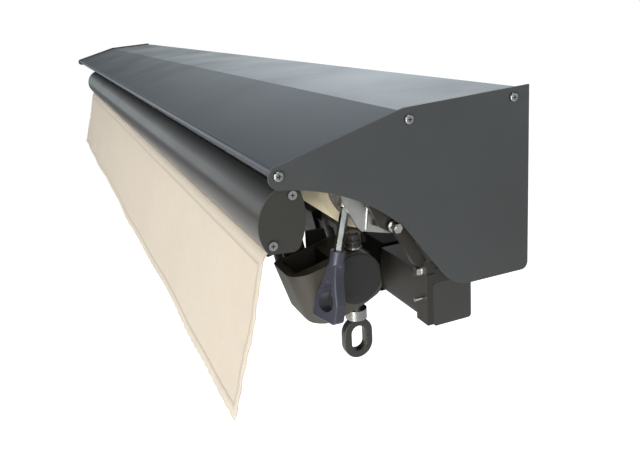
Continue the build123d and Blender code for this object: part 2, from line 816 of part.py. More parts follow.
def arm_spring(side):
    """Closed tension spring against the plug at the arm's first end."""
    end = spring_start + spring_length
    coil = along_arm(spring_radius, spring_start, end, side)
    return coil - along_arm(spring_radius - spring_wire, spring_start - 1, end + 1, side)


def spring_cable(side):
    """Cable from the spring's far end to the elbow casting, with its end stop."""
    start = spring_start + spring_length - 2
    cable = along_arm(cable_radius, start, tube_end - plug_length - 1, side)
    return cable + along_arm(spring_radius - spring_wire - 0.05, start - 4, start + 4, side)


# Front bar: profile, caps, welts and arm brackets
def leaf():
    """Outline of the front profile and of its caps."""
    return make_face([
        ThreePointArc(nose_top, nose_front, nose_corner),
        Line(nose_corner, heel_start),
        ThreePointArc(heel_start, heel_round, heel_low),
        ThreePointArc(heel_low, heel_back, heel_top),
        ThreePointArc(heel_top, crown, nose_top),
    ])


def groove(centre, direction):
    """Open channel for a welt: ring wall, round room and a slot to the outside."""
    wall = Pos(*centre) * Circle(welt_radius + 2.3)
    room = Pos(*centre) * Circle(welt_radius + 0.3)
    angle = degrees(atan2(direction[1], direction[0]))
    slot = Pos(*centre) * Rot(0, 0, angle) * Pos(8, 0) * Rectangle(16, 2.2)
    return wall, room + slot


def front_profile():
    skin = leaf()
    shape = skin - offset(skin, -front_wall)
    grooves = [groove(top_groove, (0, 1)), groove(low_groove, (-0.28, -1))]
    for wall, room in grooves:
        shape += wall & skin
    for y, z in front_screws:
        shape += (Pos(y, z) * Circle(front_port_radius)) & skin
        shape -= Pos(y, z) * Circle(screw_port)
    for wall, room in grooves:
        shape -= room
    start = front_bar_left + front_cap_thick
    return across(shape, start, front_bar_right - front_cap_thick)


def front_cap(face_x, side):
    shape = leaf()
    for y, z in front_screws:
        shape -= Pos(y, z) * Circle(screw_shank + 0.2)
    return across(shape, face_x - side * front_cap_thick, face_x)


def front_cap_screw(face_x, side, y, z):
    head = disc((y, z), 3.7, face_x, face_x + side * 1.9)
    for size in ((3.6, 0.8), (0.8, 3.6)):
        head -= across(Pos(y, z) * Rectangle(*size), face_x + side * 0.8, face_x + side * 3)
    return head + disc((y, z), screw_shank, face_x - side * 15, face_x)


def welt(centre, start, end):
    return disc(centre, welt_radius, start, end)


def front_bracket():
    """Fork under the front profile that holds the forearm's last pivot, closed at its +X side."""
    plane = arm_plane(front_pivot, (1, 0, 0))
    half = arm_height / 2
    lug = Circle(knuckle_radius) + Pos(10, 0) * Rectangle(20, 22)
    body = extrude(plane.offset(fork_gap / 2) * lug, amount=half - fork_gap / 2)
    body += extrude(plane.offset(-half) * lug, amount=half - fork_gap / 2)
    back = Pos(18, 0) * Rectangle(4.6, 22)
    body += extrude(plane.offset(-half) * back, amount=2 * half)
    x = front_pivot.X
    arm = outline((-196, 44), (-208.5, 42), (-213, 62), (-226, 80), (-224, 100), (-203, 100), (-198, 70))
    body += across(arm, x - 12, x + 12) - across(leaf(), x - 13, x + 13)
    hole = extrude(plane.offset(-30) * Circle(pin_radius + 0.01), amount=60)
    return body - hole


# Valance and the free span of cloth
valance_line = ((-239.5, 72.0), (-246.5, 70.4), (-251.6, 64), (-255.2, 48),
                (-259, 28), (-268.2, -6), (-280.2, -52), (-285.6, -67.5))
valance_thick = 1.2
valance_left = arm_centre - valance_width / 2
valance_right = arm_centre + valance_width / 2


def cloth_strip(line, thick, start, end):
    """A sheet along the wall that follows a smooth line in Y and Z."""
    middle = Spline(*line)
    sides = {1: [], -1: []}
    for k in range(len(line)):
        where = k / (len(line) - 1)
        run = middle % where
        for side, points in sides.items():
            points.append((middle @ where) + Vector(-run.Y, run.X) * (side * thick / 2))
    shape = make_face([Spline(*sides[1]), Line(sides[1][-1], sides[-1][-1]),
                       Spline(*sides[-1]), Line(sides[-1][0], sides[1][0])])
    return across(shape, start, end)


def canopy_line():
    """Straight run from the top of the roll to the slot of the front profile."""
    end = Vector(top_groove[0], nose_top[1] + 1.0)
    to_end = end - Vector(roller_y, roller_z)
    reach = roll_radius + cloth_thick / 2 + 0.35
    turn = acos(reach / to_end.length)
    angle = atan2(to_end.Y, to_end.X) - turn
    start = Vector(roller_y + reach * cos(angle), roller_z + reach * sin(angle))
    return start, end


def canopy():
    start, end = canopy_line()
    normal = Vector(-(end - start).Y, (end - start).X).normalized() * (cloth_thick / 2)
    corners = [start + normal, end + normal, end - normal, start - normal]
    return across(outline(*[(p.X, p.Y) for p in corners]), roll_left, roll_right)


write("torsion_bar", torsion_bar())
write("bar_end_caps", bar_cap(1), bar_cap(-1))
half_spacing = bracket_spacing / 2
write("wall_bracket_right", wall_bracket(half_spacing))
write("wall_bracket_left", wall_bracket(-half_spacing))
write("bar_clamps", bar_clamp(half_spacing), bar_clamp(-half_spacing))
clamp_bolt_places = [side * half_spacing + step for side in (-1, 1) for step in clamp_bolt_steps]
write("clamp_bolts", *[clamp_bolt(x) for x in clamp_bolt_places])
write("roof_carriers", *[roof_carrier(x) for x in carrier_places])
write("roof_panel", roof_panel())
write("roof_plate_right", roof_plate(1))
write("roof_plate_left", roof_plate(-1))
write("roof_screws", *[pan_screw(side, y, z) for side in (1, -1) for y, z in roof_screws])
write("roller_support_right", roller_support(True))
write("roller_support_left", on_left(roller_support(False)))
write("support_bolts", strut_bolt(), on_left(strut_bolt()), gear_screw(),
      lock_screw(), on_left(lock_screw()))
write("gearbox_housing", gearbox_housing())
write("gear_plate", gear_plate())
write("crank_shaft", crank_shaft())
write("crank_eye", crank_eye())
write("roller_tube", roller_tube())
write("drive_plug", drive_plug())
write("worm_wheel", worm_wheel())
write("idler_plug", idler_plug())
write("wound_cloth", wound_cloth())

bar_screws = [carrier_screw(x + step) for x in carrier_places for step in carrier_screw_steps]
for x in support_screws_x:
    bar_screws += [shoulder_screw(x), on_left(shoulder_screw(x))]
write("bar_screws", *bar_screws)
write("tilt_pins", tilt_pin(), on_left(tilt_pin()))

for hand, at in (("right", lambda piece: piece), ("left", on_left)):
    write(f"shoulder_support_{hand}", at(shoulder_support()))
    write(f"arm_bearing_{hand}", at(arm_bearing()))
    write(f"bearing_cover_{hand}", at(bearing_cover()))
    write(f"shoulder_pin_{hand}", at(shoulder_pin()))
    write(f"pitch_spindle_{hand}", at(pitch_spindle()), at(pitch_collar()), at(pitch_nut()))
    upper_pieces = {
        "upper_arm": arm_tube(-1),
        "shoulder_knuckle": inner_knuckle(-1),
        "elbow_fork": elbow_end(-1, True),
        "arm_spring": arm_spring(-1) + spring_cable(-1),
    }
    for name, piece in upper_pieces.items():
        write(f"{name}_{hand}", at(placed(piece, shoulder, rest_out)))
    write(f"elbow_pin_{hand}", at(placed(pivot_pin(), elbow, rest_out)))
    lower_pieces = {
        "forearm": arm_tube(1),
        "front_knuckle": inner_knuckle(1),
        "elbow_tongue": elbow_end(1, False),
    }
    for name, piece in lower_pieces.items():
        write(f"{name}_{hand}", at(placed(piece, front_pivot, rest_back * -1)))
    write(f"front_bracket_{hand}", at(front_bracket()))

front_pin = placed(pivot_pin(), front_pivot, rest_back)
write("front_pins", front_pin, on_left(front_pin))
write("front_profile", front_profile())
write("front_end_caps", front_cap(front_bar_right, 1), front_cap(front_bar_left, -1))
front_ends = ((front_bar_right, 1), (front_bar_left, -1))
write("front_cap_screws",
      *[front_cap_screw(x, side, y, z) for x, side in front_ends for y, z in front_screws])
write("valance", cloth_strip(valance_line, valance_thick, valance_left, valance_right))
write("welt_rods", welt(top_groove, roll_left, roll_right), welt(low_groove, valance_left, valance_right))
write("canopy", canopy())
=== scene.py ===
import bpy
import numpy as np
from mathutils import Matrix, Vector


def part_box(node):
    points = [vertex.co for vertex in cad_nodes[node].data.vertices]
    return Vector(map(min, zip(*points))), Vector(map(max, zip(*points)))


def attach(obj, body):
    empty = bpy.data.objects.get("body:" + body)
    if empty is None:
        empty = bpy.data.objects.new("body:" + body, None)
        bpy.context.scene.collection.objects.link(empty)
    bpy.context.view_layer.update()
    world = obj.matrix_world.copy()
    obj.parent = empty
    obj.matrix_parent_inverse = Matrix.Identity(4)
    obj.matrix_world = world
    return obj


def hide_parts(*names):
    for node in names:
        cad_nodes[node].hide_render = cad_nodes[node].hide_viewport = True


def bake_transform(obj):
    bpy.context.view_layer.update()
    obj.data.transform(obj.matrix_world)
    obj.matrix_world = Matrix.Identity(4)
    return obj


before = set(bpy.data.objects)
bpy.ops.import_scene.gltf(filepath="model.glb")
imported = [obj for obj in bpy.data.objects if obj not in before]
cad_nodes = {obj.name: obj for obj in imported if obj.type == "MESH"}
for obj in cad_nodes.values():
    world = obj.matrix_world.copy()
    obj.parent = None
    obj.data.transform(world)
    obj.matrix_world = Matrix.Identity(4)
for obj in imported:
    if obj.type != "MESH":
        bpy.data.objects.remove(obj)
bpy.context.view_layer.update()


# Torsion bar: a 40 mm square steel tube along the wall, rolled and powder coated in a warm
# dark grey. Everything else is clamped on it. Its ends are closed by moulded caps.
bar_grey = (0.034, 0.031, 0.026, 1)
cap_grey = (0.048, 0.047, 0.042, 1)
pale_dust = (0.45, 0.43, 0.40, 1)
grain_depth = 0.0002


def node(tree, kind, sockets=None, **settings):
    """A new node. Sockets takes socket names or numbers, each with a value or the output that feeds it."""
    made = tree.nodes.new(kind)
    for name, value in settings.items():
        setattr(made, name, value)
    for name, value in (sockets or {}).items():
        if isinstance(value, bpy.types.NodeSocket):
            tree.links.new(value, made.inputs[name])
        else:
            made.inputs[name].default_value = value
    return made


def group_in(tree, group, **values):
    """A node group set into a material, with its sockets' values. Returns its outputs."""
    return node(tree, "ShaderNodeGroup", values, node_tree=group).outputs


def maths(tree, operation, first, second=0.0):
    return node(tree, "ShaderNodeMath", {0: first, 1: second}, operation=operation).outputs[0]


def split(tree, vector):
    """The three parts of a vector."""
    return node(tree, "ShaderNodeSeparateXYZ", {0: vector}).outputs


def object_coordinates(tree):
    return node(tree, "ShaderNodeTexCoord").outputs["Object"]


def object_place(tree):
    """X, Y and Z in metres, in the model's frame."""
    return split(tree, object_coordinates(tree))


def upward(tree):
    """How far a face looks up: 1 for a level one, 0 for an upright one."""
    return split(tree, node(tree, "ShaderNodeNewGeometry").outputs["Normal"])[2]


def ramp(tree, value, low, high, to_low=0.0, to_high=1.0):
    """The value carried from low..high to to_low..to_high, held at both ends."""
    sockets = {0: value, 1: low, 2: high, 3: to_low, 4: to_high}
    return node(tree, "ShaderNodeMapRange", sockets).outputs[0]


def noise(tree, vector, scale, detail):
    """Cloudy values round a half, with scale as the number of clouds to the metre."""
    sockets = {"Vector": vector, "Scale": scale, "Detail": detail}
    return node(tree, "ShaderNodeTexNoise", sockets).outputs["Fac"]


def blend_colours(tree, share, first, second):
    """The first colour where the share is 0, the second where it is 1."""
    sockets = {0: share, 6: first, 7: second}
    return node(tree, "ShaderNodeMix", sockets, data_type="RGBA").outputs[2]


def toned(tree, colour, tone):
    """The colour made lighter or darker by a factor."""
    return node(tree, "ShaderNodeVectorMath", {0: colour, "Scale": tone}, operation="SCALE").outputs[0]


def fine_bump(tree, strength, height):
    """A normal from a height of 0 to 1, which stands for a fifth of a millimetre."""
    sockets = {"Strength": strength, "Distance": grain_depth, "Height": height}
    return node(tree, "ShaderNodeBump", sockets).outputs[0]


def shader_group(name, inputs, outputs):
    """An empty node group with named sockets: inputs as (name, kind, default), outputs as (name, kind)."""
    tree = bpy.data.node_groups.new(name, "ShaderNodeTree")
    for title, kind, value in inputs:
        socket = tree.interface.new_socket(name=title, in_out="INPUT", socket_type=kind)
        socket.default_value = value
    for title, kind in outputs:
        tree.interface.new_socket(name=title, in_out="OUTPUT", socket_type=kind)
    return tree, tree.nodes.new("NodeGroupInput").outputs, tree.nodes.new("NodeGroupOutput").inputs


def coat_finish():
    """Baked coat: fine grain, slow drift of tone, and dust that settles on faces that look up."""
    tree, given, out = shader_group(
        "Coat finish",
        [("Colour", "NodeSocketColor", (0.1, 0.1, 0.1, 1)), ("Grain", "NodeSocketFloat", 1400.0),
         ("Bump", "NodeSocketFloat", 0.15), ("Dust", "NodeSocketFloat", 0.08),
         ("Roughness", "NodeSocketFloat", 0.38)],
        [("Colour", "NodeSocketColor"), ("Roughness", "NodeSocketFloat"), ("Normal", "NodeSocketVector")],
    )
    place = object_coordinates(tree)
    fine = noise(tree, place, given["Grain"], detail=2.0)
    slow = noise(tree, place, 7.0, detail=4.0)
    settled = maths(tree, "MULTIPLY", ramp(tree, upward(tree), 0.3, 1.0), given["Dust"])
    settled = maths(tree, "MULTIPLY", settled, ramp(tree, slow, 0.35, 0.7))
    shade = ramp(tree, slow, 0.3, 0.7, 0.93, 1.07)
    speck = ramp(tree, fine, 0.3, 0.7, 0.95, 1.05)
    tinted = toned(tree, given["Colour"], maths(tree, "MULTIPLY", shade, speck))
    tree.links.new(blend_colours(tree, settled, tinted, pale_dust), out["Colour"])
    drift = maths(tree, "ADD", ramp(tree, slow, 0.3, 0.7, -0.05, 0.05), given["Roughness"])
    tree.links.new(maths(tree, "ADD", drift, settled), out["Roughness"])
    tree.links.new(fine_bump(tree, given["Bump"], fine), out["Normal"])
    return tree


def new_material(name):
    """A new material, its node tree and the sockets of its shader."""
    material = bpy.data.materials.new(name)
    material.use_nodes = True
    return material, material.node_tree, material.node_tree.nodes["Principled BSDF"].inputs


def feed_shader(tree, finish, shader):
    """Links a finish's colour, roughness and normal to the shader."""
    for given, taken in (("Colour", "Base Color"), ("Roughness", "Roughness"), ("Normal", "Normal")):
        tree.links.new(finish[given], shader[taken])


coat_group = coat_finish()


def coated(name, colour, grain=1400.0, bump=0.15, dust=0.08, roughness=0.38, gloss=0.5):
    """Coated metal or plastic, from the shared coat finish. Gloss is the specular level."""
    material, tree, shader = new_material(name)
    finish = group_in(tree, coat_group, Colour=colour, Grain=grain, Bump=bump, Dust=dust,
                      Roughness=roughness)
    feed_shader(tree, finish, shader)
    shader["Specular IOR Level"].default_value = gloss
    return material


def dress(material, *names):
    """Gives CAD nodes their finished material."""
    for name in names:
        slots = cad_nodes[name].data.materials
        slots.clear()
        slots.append(material)


dress(coated("Bar coat", bar_grey), "torsion_bar")
dress(coated("Cap plastic", cap_grey, grain=900.0, bump=0.3), "bar_end_caps")


# Wall brackets: cast plates with ribs and a jaw under the bar, and an upper jaw bolted down
# over it. Sand cast and coated, so their grain is coarser than the bar's.
casting_brown = (0.0095, 0.0085, 0.0065, 1)
screw_zinc = (0.62, 0.61, 0.58, 1)
brown_casting = coated("Brown casting", casting_brown, grain=700.0, bump=0.35, dust=0.02, roughness=0.55,
                       gloss=0.1)
dress(brown_casting, "wall_bracket_right", "wall_bracket_left", "bar_clamps")


def metal_finish():
    """Bare metal: flakes of a lighter and a darker shade, and patches where it is rougher."""
    tree, given, out = shader_group(
        "Metal finish",
        [("Colour", "NodeSocketColor", (0.6, 0.6, 0.6, 1)), ("Scale", "NodeSocketFloat", 120.0),
         ("Spots", "NodeSocketFloat", 0.5), ("Roughness", "NodeSocketFloat", 0.3)],
        [("Colour", "NodeSocketColor"), ("Roughness", "NodeSocketFloat"), ("Normal", "NodeSocketVector")],
    )
    place = object_coordinates(tree)
    spangle = node(tree, "ShaderNodeTexVoronoi", {"Vector": place, "Scale": given["Scale"]})
    flake = node(tree, "ShaderNodeSeparateColor", {0: spangle.outputs["Color"]}).outputs[0]
    slow = noise(tree, place, 60.0, detail=4.0)
    flake_tone = maths(tree, "MULTIPLY", maths(tree, "SUBTRACT", flake, 0.5), given["Spots"])
    tone = maths(tree, "ADD", maths(tree, "ADD", 0.92, flake_tone), maths(tree, "MULTIPLY", slow, 0.16))
    tree.links.new(toned(tree, given["Colour"], tone), out["Colour"])
    worn = maths(tree, "MULTIPLY", maths(tree, "SUBTRACT", slow, 0.5), 0.35)
    tree.links.new(maths(tree, "ADD", given["Roughness"], worn), out["Roughness"])
    tree.links.new(fine_bump(tree, 0.12, slow), out["Normal"])
    return tree


metal_group = metal_finish()


def bare_metal(name, colour, scale, spots, roughness):
    """Bare metal with flakes: scale is how many to the metre, spots how much they differ."""
    material, tree, shader = new_material(name)
    finish = group_in(tree, metal_group, Colour=colour, Scale=scale, Spots=spots, Roughness=roughness)
    feed_shader(tree, finish, shader)
    shader["Metallic"].default_value = 1.0
    return material


bright_screw = bare_metal("Bright zinc screw", screw_zinc, scale=900.0, spots=0.10, roughness=0.24)
dress(bright_screw, "clamp_bolts", "bar_screws")


# Roof: one aluminium profile of two facets with a rounded lip, coated in anthracite, screwed
# at each end to a flat sheet plate. Three bent zinc strips hold it over the bar.
sheet_zinc = (0.52, 0.515, 0.49, 1)
anthracite = (0.046, 0.052, 0.062, 1)
plate_grey = (0.066, 0.069, 0.068, 1)
dull_zinc = (0.42, 0.42, 0.41, 1)
# Dark brown for the painted shade in the screws' recesses.
recess_shade_brown = (0.020, 0.018, 0.016, 1)
recess_floor = 0.0011
recess_edge = 0.0013
roof_half = 1.0
galvanised = bare_metal("Galvanised sheet", sheet_zinc, scale=140.0, spots=0.14, roughness=0.40)
dress(galvanised, "roof_carriers")
roof_coat = coated("Roof coat", anthracite, bump=0.04, dust=0.02, roughness=0.17)
dress(roof_coat, "roof_panel")
plate_coat = coated("Plate coat", plate_grey, bump=0.12, roughness=0.36)
dress(plate_coat, "roof_plate_right", "roof_plate_left")


def stain(material, mask, colour):
    """Lays a colour over the material's own, where the mask is 1."""
    tree = material.node_tree
    base = tree.nodes["Principled BSDF"].inputs["Base Color"]
    under = base.links[0].from_socket
    tree.links.new(blend_colours(tree, mask, under, colour), base)


def pan_head_zinc(name, middle, reach):
    """Dull zinc for screws at both ends of a bar: middle is the bar's middle, reach its half length.
    What lies nearer to the bar than the heads' outer faces, such as the recesses, is painted dark as shade."""
    material = bare_metal(name, dull_zinc, scale=900.0, spots=0.10, roughness=0.30)
    tree = material.node_tree
    from_middle = maths(tree, "ABSOLUTE", maths(tree, "SUBTRACT", object_place(tree)[0], middle))
    deep = ramp(tree, from_middle, reach + recess_floor, reach + recess_edge, 1.0, 0.0)
    # Painted shade: the recesses and what lies below the heads' faces are darkened.
    stain(material, deep, recess_shade_brown)
    return material


dress(pan_head_zinc("Roof screw zinc", 0.0, roof_half), "roof_screws")


# Roller supports: a cast foot and strut at each end, bolted on the bar, coated dark brown.
# The right one also carries the crank gear behind a galvanised plate.
support_brown = (0.033, 0.029, 0.023, 1)
alloy_grey = (0.48, 0.47, 0.44, 1)
support_coat = coated("Support coat", support_brown, grain=700.0, bump=0.3, roughness=0.40, gloss=0.4)
dress(support_coat, "roller_support_right", "roller_support_left")
dress(bright_screw, "support_bolts")
dress(galvanised, "gear_plate")
cast_alloy = bare_metal("Cast alloy", alloy_grey, scale=300.0, spots=0.12, roughness=0.46)
dress(cast_alloy, "gearbox_housing")


# Crank drive: a bright hexagon rod from the worm, and a moulded blue-grey eye at its end that
# the hook of the hand crank goes through.
rod_grey = (0.18, 0.192, 0.184, 1)
eye_blue_grey = (0.056, 0.056, 0.078, 1)
hex_steel = bare_metal("Bright hexagon rod", rod_grey, scale=300.0, spots=0.04, roughness=0.26)
dress(hex_steel, "crank_shaft")
eye_plastic = coated("Eye plastic", eye_blue_grey, grain=1000.0, bump=0.2, dust=0.02, roughness=0.3)
dress(eye_plastic, "crank_eye")


# Roller: a galvanised tube on two plugs, the right one turned by a brass worm wheel, with the
# canvas wound on it.
brass_yellow = (0.72, 0.52, 0.24, 1)
plug_black = (0.03, 0.03, 0.03, 1)
dress(galvanised, "roller_tube")
dress(cast_alloy, "drive_plug")
dress(bare_metal("Turned brass", brass_yellow, scale=400.0, spots=0.1, roughness=0.3), "worm_wheel")
dress(coated("Idler plastic", plug_black, grain=900.0, bump=0.3), "idler_plug")
roller_y = -0.150
roller_z = 0.113
roll_radius = 0.0435
tube_radius = 0.035
roll_low, roll_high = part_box("wound_cloth")
roll_turns = 13
turn_steps = 64
roll_layer = 0.0005
roll_inset = 0.0003
roll_columns = 7
canvas_cream = (0.79, 0.675, 0.535, 1)
# The roll's colour: the cream canvas painted lighter and warmer, as light on the roll.
roll_cream_lit = (0.96, 0.83, 0.58, 1)
thread_width = 0.0007


def surface(name, points, uv=None):
    """A piece from a grid of points, rows along its first axis, with the cloth's flat places in metres."""
    rows, columns = points.shape[:2]
    index = np.arange(rows * columns).reshape(rows, columns)
    corners = [index[:-1, :-1], index[:-1, 1:], index[1:, 1:], index[1:, :-1]]
    quads = np.stack(corners, axis=-1).reshape(-1, 4)
    mesh = bpy.data.meshes.new(name)
    mesh.from_pydata(points.reshape(-1, 3).tolist(), [], quads.tolist())
    if uv is not None:
        layer = mesh.uv_layers.new(name="Cloth")
        layer.data.foreach_set("uv", uv.reshape(-1, 2)[quads.reshape(-1)].astype(np.float32).ravel())
    mesh.polygons.foreach_set("use_smooth", np.ones(len(quads), bool))
    piece = bpy.data.objects.new(name, mesh)
    bpy.context.scene.collection.objects.link(piece)
    return piece


def cloth_weave():
    """Plain weave from UV in metres: a chequer of squares one thread wide. Each is rounded across the
    warp or across the weft, in turn. Long thin slubs vary the tone and the roughness."""
    tree, given, out = shader_group(
        "Cloth weave",
        [("Colour", "NodeSocketColor", canvas_cream), ("Thread", "NodeSocketFloat", thread_width)],
        [("Colour", "NodeSocketColor"), ("Height", "NodeSocketFloat"), ("Roughness", "NodeSocketFloat")],
    )
    flat = node(tree, "ShaderNodeUVMap", uv_map="Cloth").outputs[0]
    waves = []
    for run in split(tree, flat)[:2]:
        turn = maths(tree, "MULTIPLY", maths(tree, "DIVIDE", run, given["Thread"]), np.pi)
        waves.append(maths(tree, "SINE", turn))
    over = maths(tree, "MULTIPLY", waves[0], waves[1])
    warp = maths(tree, "ABSOLUTE", waves[0])
    weft = maths(tree, "ABSOLUTE", waves[1])
    side = maths(tree, "GREATER_THAN", over, 0.0)
    height = node(tree, "ShaderNodeMix", {0: side, 2: warp, 3: weft}, data_type="FLOAT").outputs[0]
    slubs = []
    for stretch in ((40, 1400, 1), (1400, 40, 1)):
        stretched = node(tree, "ShaderNodeVectorMath", {0: flat, 1: stretch}, operation="MULTIPLY")
        slubs.append(noise(tree, stretched.outputs[0], 1.0, detail=2.0))
    slub = maths(tree, "ADD", slubs[0], slubs[1])
    broad = noise(tree, object_coordinates(tree), 9.0, detail=4.0)
    patchy = ramp(tree, broad, 0.3, 0.7, -0.02, 0.02)
    tone = maths(tree, "ADD", ramp(tree, slub, 0.7, 1.3, 0.92, 1.04), patchy)
    # Painted shade: the weave is darker where its threads dip.
    tone = maths(tree, "MULTIPLY", tone, ramp(tree, height, 0.0, 1.0, 0.90, 1.02))
    tree.links.new(toned(tree, given["Colour"], tone), out["Colour"])
    tree.links.new(height, out["Height"])
    tree.links.new(ramp(tree, slub, 0.7, 1.3, 0.78, 0.9), out["Roughness"])
    return tree


weave_group = cloth_weave()


def canvas(name, colour):
    """Woven canvas with a little sheen."""
    material, tree, shader = new_material(name)
    woven = group_in(tree, weave_group, Colour=colour, Thread=thread_width)
    tree.links.new(woven["Colour"], shader["Base Color"])
    tree.links.new(woven["Roughness"], shader["Roughness"])
    tree.links.new(fine_bump(tree, 0.5, woven["Height"]), shader["Normal"])
    shader["Sheen Weight"].default_value = 0.15
    shader["Sheen Roughness"].default_value = 0.5
    return material


def sheet_surface(name, along, across, run):
    """A sheet with its columns at the given X places. Across holds the Y and Z of each row, and run
    how far each row lies along the cloth, in metres."""
    grid = np.zeros((len(across), len(along), 3))
    grid[:, :, 0] = along
    grid[:, :, 1:] = across
    flat = np.zeros((len(across), len(along), 2))
    flat[:, :, 0] = along
    flat[:, :, 1] = run[:, None]
    return surface(name, grid, flat)


def wound_roll():
    """Spiral strip: the radius grows evenly with the angle, from the tube to the full roll."""
    steps = turn_steps * roll_turns + 1
    turn = np.linspace(0, 2 * np.pi * roll_turns, steps)
    radius = np.linspace(tube_radius + roll_layer, roll_radius - roll_inset, steps)
    along = np.linspace(roll_low.x, roll_high.x, roll_columns)
    spiral = np.stack([roller_y + radius * np.cos(turn), roller_z + radius * np.sin(turn)], axis=1)
    run = np.cumsum(radius) * turn[1]
    return sheet_surface("rolled_canvas", along, spiral[:, None, :], run), float(run[-1])


cream_canvas = canvas("Cream canvas", canvas_cream)
rolled, rolled_length = wound_roll()
# Painted light: the roll wears a lighter, warmer copy of the cream canvas.
rolled.data.materials.append(canvas("Rolled canvas", roll_cream_lit))
thickness = rolled.modifiers.new("Canvas thickness", "SOLIDIFY")
thickness.thickness = roll_layer
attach(rolled, "roller")
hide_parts("wound_cloth")


# Shoulders: clamps on the bar, and tilting bearings cast with an open trough, closed at the
# side by a round pressed cap. Coated in a finer, darker grey.
arm_middle = 0.220
trough_from_middle = 0.7055
trough_half_width = 0.0174
trough_lean = 0.31
trough_front = -0.2045
trough_floor = -0.0085
spindle_zinc = (0.36, 0.355, 0.34, 1)
spindle_black = (0.055, 0.053, 0.046, 1)
spindle_eye_top = -0.0200
spindle_knob_low = 0.0490
bearing_grey = (0.092, 0.083, 0.067, 1)
# Near black for the painted shade inside the troughs and on the bearings' upper faces.
trough_shade_black = (0.006, 0.005, 0.004, 1)
cover_grey = (0.034, 0.034, 0.032, 1)
bearing_coat = coated("Bearing coat", bearing_grey, grain=900.0, bump=0.25, roughness=0.46, gloss=0.3)


def shade_troughs():
    """Painted shade: near black inside the two troughs, behind a leaning front plane and above their floor,
    and darker on the castings' upper faces, which lie under the roof."""
    tree = bearing_coat.node_tree
    x, y, z = object_place(tree)
    from_middle = maths(tree, "ABSOLUTE", maths(tree, "SUBTRACT", x, arm_middle))
    off_centre = maths(tree, "ABSOLUTE", maths(tree, "SUBTRACT", from_middle, trough_from_middle))
    across = ramp(tree, off_centre, trough_half_width, trough_half_width + 0.0005, 1.0, 0.0)
    lean = maths(tree, "ADD", y, maths(tree, "MULTIPLY", z, trough_lean))
    behind = ramp(tree, lean, trough_front, trough_front + 0.001)
    above = ramp(tree, z, trough_floor, trough_floor + 0.001)
    room = maths(tree, "MULTIPLY", maths(tree, "MULTIPLY", across, behind), above)
    upper_face_shade = maths(tree, "MULTIPLY", ramp(tree, upward(tree), 0.4, 0.9), 0.6)
    dark = maths(tree, "MAXIMUM", maths(tree, "MULTIPLY", room, 0.92), upper_face_shade)
    # Painted shade laid over the coat: the troughs' insides and the upper faces.
    stain(bearing_coat, dark, trough_shade_black)


shade_troughs()


def spindle_steel():
    """Zinc plated steel whose oval eye and knob are blackened, told apart by their height."""
    material = bare_metal("Spindle steel", spindle_zinc, scale=700.0, spots=0.1, roughness=0.28)
    tree = material.node_tree
    height = object_place(tree)[2]
    eye = ramp(tree, height, spindle_eye_top - 0.0004, spindle_eye_top, 1.0, 0.0)
    knob = ramp(tree, height, spindle_knob_low, spindle_knob_low + 0.0004)
    black = maths(tree, "MAXIMUM", eye, knob)
    stain(material, black, spindle_black)
    metallic = tree.nodes["Principled BSDF"].inputs["Metallic"]
    tree.links.new(ramp(tree, black, 0.0, 1.0, 1.0, 0.3), metallic)
    return material


pitch_steel = spindle_steel()
cover_coat = coated("Cover coat", cover_grey, bump=0.10, gloss=0.3)
dress(brown_casting, "shoulder_support_right", "shoulder_support_left")
dress(bright_screw, "tilt_pins")
for hand in ("right", "left"):
    dress(bearing_coat, f"arm_bearing_{hand}")
    dress(cover_coat, f"bearing_cover_{hand}")
    dress(bright_screw, f"shoulder_pin_{hand}")
    dress(pitch_steel, f"pitch_spindle_{hand}")


# Arms: rectangular extrusions with cast ends, folded flat behind the front bar, a spring and
# its cable inside the upper one.
arm_black = (0.010, 0.010, 0.010, 1)
knuckle_black = (0.012, 0.012, 0.011, 1)
arm_coat = coated("Arm coat", arm_black, bump=0.10, dust=0.02, gloss=0.2)
arm_casting = coated("Arm casting", knuckle_black, grain=900.0, bump=0.25, dust=0.02, gloss=0.25)
for hand in ("right", "left"):
    dress(arm_coat, f"upper_arm_{hand}", f"forearm_{hand}")
    dress(arm_casting, f"shoulder_knuckle_{hand}", f"elbow_fork_{hand}")
    dress(arm_casting, f"elbow_tongue_{hand}", f"front_knuckle_{hand}")
    dress(bright_screw, f"elbow_pin_{hand}", f"arm_spring_{hand}")
    dress(arm_casting, f"front_bracket_{hand}")


# Front bar: a hollow aluminium profile, extruded and coated in a warm dark grey, with a flat cap
# screwed on each end. Its upper side, under the roof, is painted near black as shade, and rougher.
front_bar_half = 0.770
front_grey = (0.052, 0.047, 0.042, 1)
end_cap_grey = (0.046, 0.044, 0.038, 1)
# Near black for the painted shade on the front bar's upper side.
bar_top_shade_black = (0.004, 0.0035, 0.0035, 1)
front_coat = coated("Front bar coat", front_grey, bump=0.05, dust=0.0, roughness=0.24, gloss=0.4)


def paint_bar_top_shade():
    """Painted shade on the bar's upper side, under the roof's lip: near black, and a rougher finish there.
    """
    tree = front_coat.node_tree
    bar_top_shade = ramp(tree, upward(tree), 0.50, 0.82)
    # Painted shade: near black over the coat on the bar's upper side.
    stain(front_coat, bar_top_shade, bar_top_shade_black)
    roughness = tree.nodes["Principled BSDF"].inputs["Roughness"]
    rougher = maths(tree, "MULTIPLY", bar_top_shade, 0.5)
    tree.links.new(maths(tree, "ADD", roughness.links[0].from_socket, rougher), roughness)


paint_bar_top_shade()
dress(front_coat, "front_profile")
end_cap_coat = coated("End cap coat", end_cap_grey, bump=0.12, roughness=0.45, gloss=0.35)
dress(end_cap_coat, "front_end_caps")
dress(pan_head_zinc("Cap screw zinc", arm_middle, front_bar_half), "front_cap_screws")
dress(bright_screw, "front_pins")


